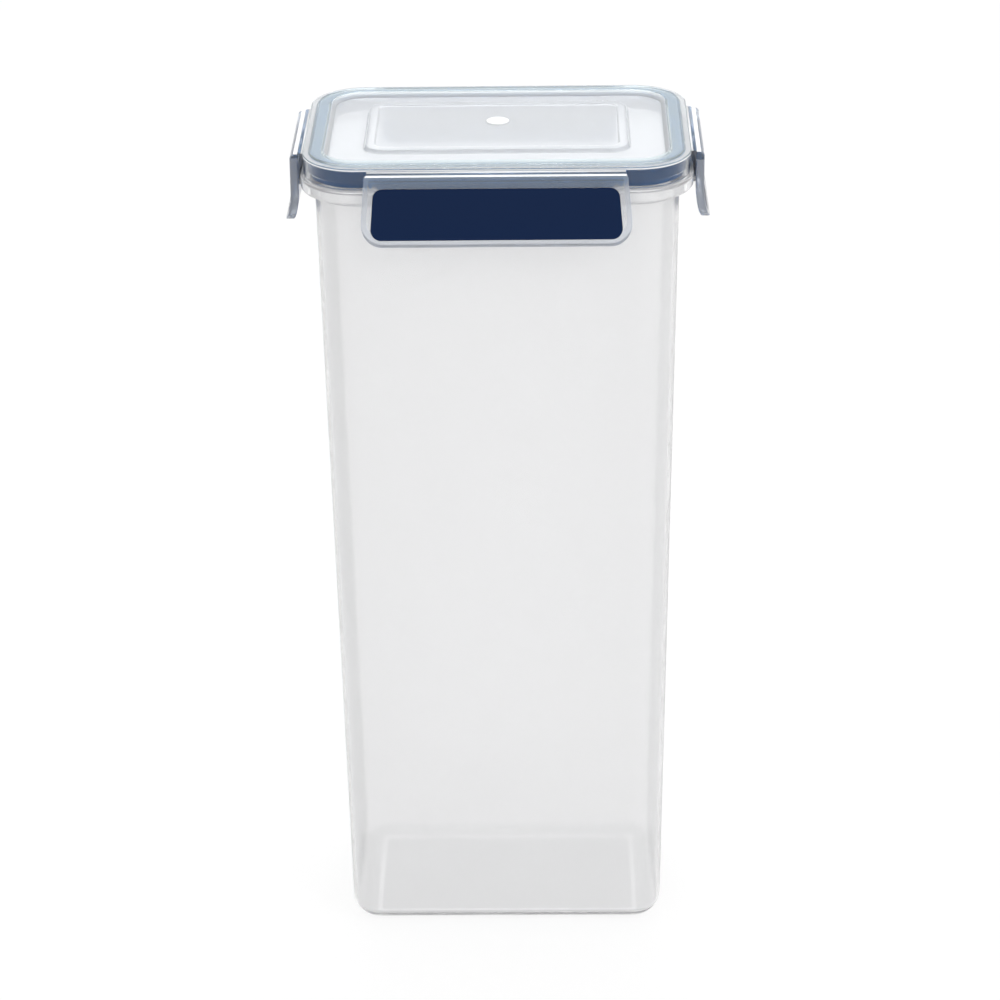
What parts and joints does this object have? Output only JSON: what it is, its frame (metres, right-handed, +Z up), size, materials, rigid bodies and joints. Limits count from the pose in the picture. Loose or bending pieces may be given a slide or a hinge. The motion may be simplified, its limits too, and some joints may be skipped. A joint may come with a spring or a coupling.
{
  "type": "clip-lock food canister",
  "caption": "Tall rectangular food canister with a drafted translucent tub, a clear sealed lid and hinged clip latches with coloured inserts.",
  "frame": {"origin": "middle of the foot ring, on the surface that the canister stands on", "axes": "+Z up, +X to the right and -Y towards the viewer of a wide side"},
  "size_m": [0.1662, 0.1156, 0.3453],
  "materials": {
    "tub_plastic": "translucent natural polypropylene, satin inside, polished outside",
    "lid_plastic": "clear polypropylene with a faint blue cast, polished",
    "seal_rubber": "smooth slate-blue silicone",
    "latch_plastic": "clear polypropylene, lightly frosted",
    "insert_plastic": "smooth navy plastic with a soft sheen"
  },
  "bodies": {
    "canister": {"tub": "tub_plastic"},
    "lid": {"lid": "lid_plastic", "seal": "seal_rubber"},
    "front_latch": {"front_latch": "latch_plastic", "front_insert": "insert_plastic"},
    "back_latch": {"back_latch": "latch_plastic", "back_insert": "insert_plastic"},
    "left_latch": {"left_latch": "latch_plastic", "left_insert": "insert_plastic"},
    "right_latch": {"right_latch": "latch_plastic", "right_insert": "insert_plastic"}
  },
  "joints": [
    {"name": "lid_lift", "type": "slide", "parent": "canister", "child": "lid", "axis": [0, 0, 1], "range_m": [0, 0.03]},
    {"name": "front_latch_hinge", "type": "hinge", "parent": "lid", "child": "front_latch", "pos_m": [0, -0.0507, 0.3429], "axis": [-1, 0, 0], "range_deg": [0, 120]},
    {"name": "back_latch_hinge", "type": "hinge", "parent": "lid", "child": "back_latch", "pos_m": [0, 0.0507, 0.3429], "axis": [1, 0, 0], "range_deg": [0, 120]},
    {"name": "left_latch_hinge", "type": "hinge", "parent": "lid", "child": "left_latch", "pos_m": [-0.07595, 0, 0.3429], "axis": [0, 1, 0], "range_deg": [0, 120]},
    {"name": "right_latch_hinge", "type": "hinge", "parent": "lid", "child": "right_latch", "pos_m": [0.07595, 0, 0.3429], "axis": [0, -1, 0], "range_deg": [0, 120]}
  ],
  "couplings": [
    {"joint": "front_latch_hinge", "follows": "lid_lift", "rad_per_m": 69.81},
    {"joint": "back_latch_hinge", "follows": "lid_lift", "rad_per_m": 69.81},
    {"joint": "left_latch_hinge", "follows": "lid_lift", "rad_per_m": 69.81},
    {"joint": "right_latch_hinge", "follows": "lid_lift", "rad_per_m": 69.81}
  ]
}
